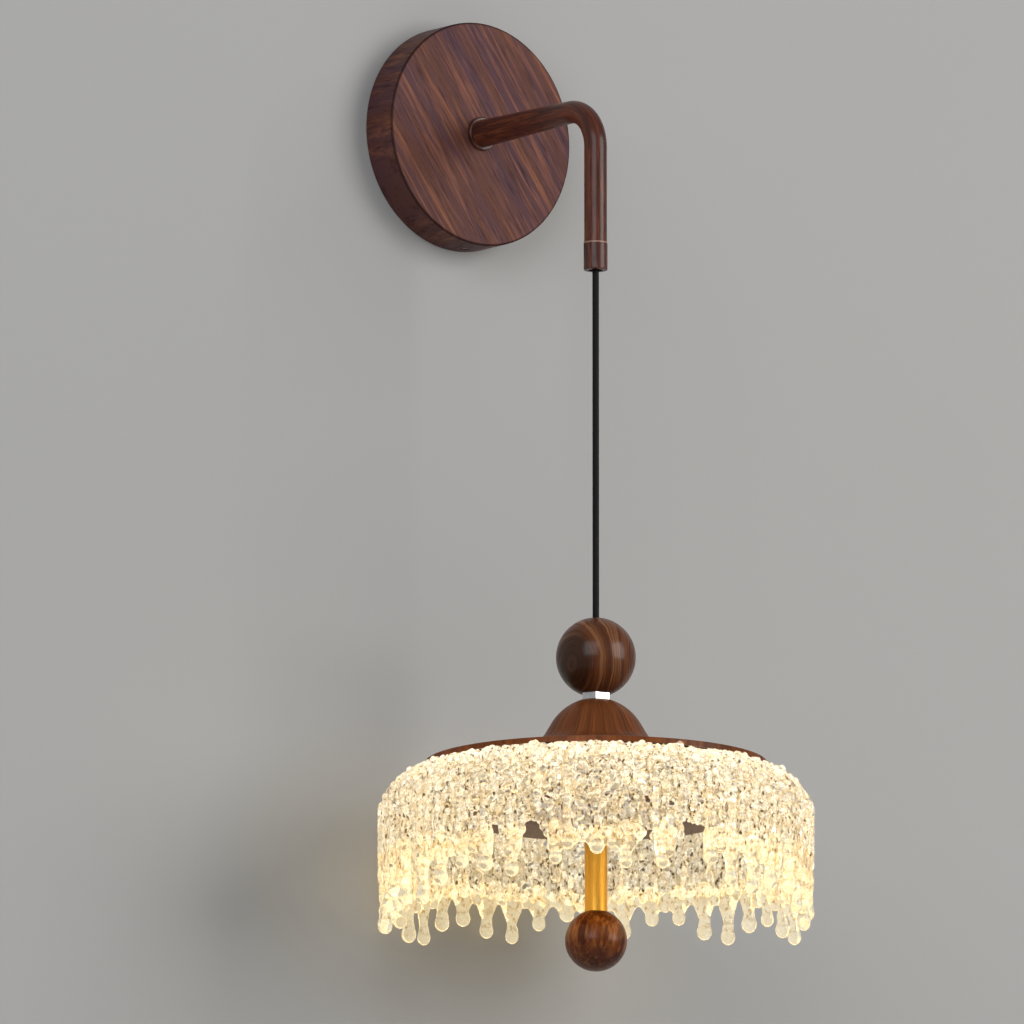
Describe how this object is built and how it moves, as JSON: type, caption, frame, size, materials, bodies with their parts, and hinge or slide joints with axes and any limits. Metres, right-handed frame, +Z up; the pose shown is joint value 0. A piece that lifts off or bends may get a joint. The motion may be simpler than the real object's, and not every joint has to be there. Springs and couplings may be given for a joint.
{
  "type": "wall lamp",
  "caption": "Wall lamp with a round wood-grain wall plate, a bent arm and a cord-hung head: wooden ball, bell hat, dripping clear glass shade, brass tube and ball finial.",
  "frame": {"origin": "centre of the wall plate's back, on the wall plane Y = 0", "axes": "+Z up, +Y into the wall, +X to the right as seen from the room"},
  "size_m": [0.23, 0.2351, 0.5214],
  "materials": {
    "wood_grain_metal": "satin wood-grain transfer on steel",
    "walnut": "oiled and polished",
    "clear_glass": "clear, beaded, lit from inside",
    "zinc_steel": "zinc plated",
    "chrome": "polished",
    "brass": "satin",
    "black_cord": "smooth sleeve",
    "white_plastic": "moulded",
    "wire_sleeve": "smooth",
    "seal_rubber": "matt",
    "spun_aluminium": "spun",
    "strip_board": "white solder mask",
    "lit_chip": "lit",
    "brown_paint": "satin"
  },
  "bodies": {
    "wall_mount": {"canopy": "wood_grain_metal", "mounting_strap": "zinc_steel", "rim_screws": "zinc_steel", "earth_screw": "brass", "led_driver": "white_plastic", "terminal_block": "white_plastic", "terminal_screws": "zinc_steel", "driver_wires": "wire_sleeve", "arm_collar": "wood_grain_metal", "arm_nipple": "zinc_steel", "arm_washer": "zinc_steel", "arm_lock_nut": "zinc_steel", "arm_tube": "wood_grain_metal", "end_ferrule": "wood_grain_metal", "cord_grip": "white_plastic", "arm_lead": "black_cord"},
    "cord_neck": {"cord_neck": "black_cord"},
    "pendant_cord": {"pendant_cord": "black_cord"},
    "lamp_head": {"top_ball": "walnut", "head_cord_grip": "white_plastic", "hanger_nipple": "zinc_steel", "collar_nut": "chrome", "hat": "wood_grain_metal", "shade_gasket": "seal_rubber", "glass_shade": "clear_glass", "glass_drips": "clear_glass", "led_carrier": "spun_aluminium", "led_strip": "strip_board", "led_chips": "lit_chip", "head_lead": "black_cord", "led_tail": "wire_sleeve", "head_lock_nut": "zinc_steel", "hub_cover": "brown_paint", "brass_tube": "brass", "finial_stud": "zinc_steel", "finial_ball": "walnut"}
  },
  "joints": [
    {"name": "side_swing", "type": "hinge", "parent": "wall_mount", "child": "cord_neck", "pos_m": [0, -0.12, -0.0855], "axis": [0, 1, 0], "range_deg": [-20, 20]},
    {"name": "front_swing", "type": "hinge", "parent": "cord_neck", "child": "pendant_cord", "pos_m": [0, -0.12, -0.0855], "axis": [1, 0, 0], "range_deg": [-20, 0.9]},
    {"name": "head_twist", "type": "hinge", "parent": "pendant_cord", "child": "lamp_head", "pos_m": [0, -0.12, -0.2999], "axis": [0, 0, 1], "range_deg": [-90, 90], "stiffness_Nm_per_rad": 0.01}
  ]
}
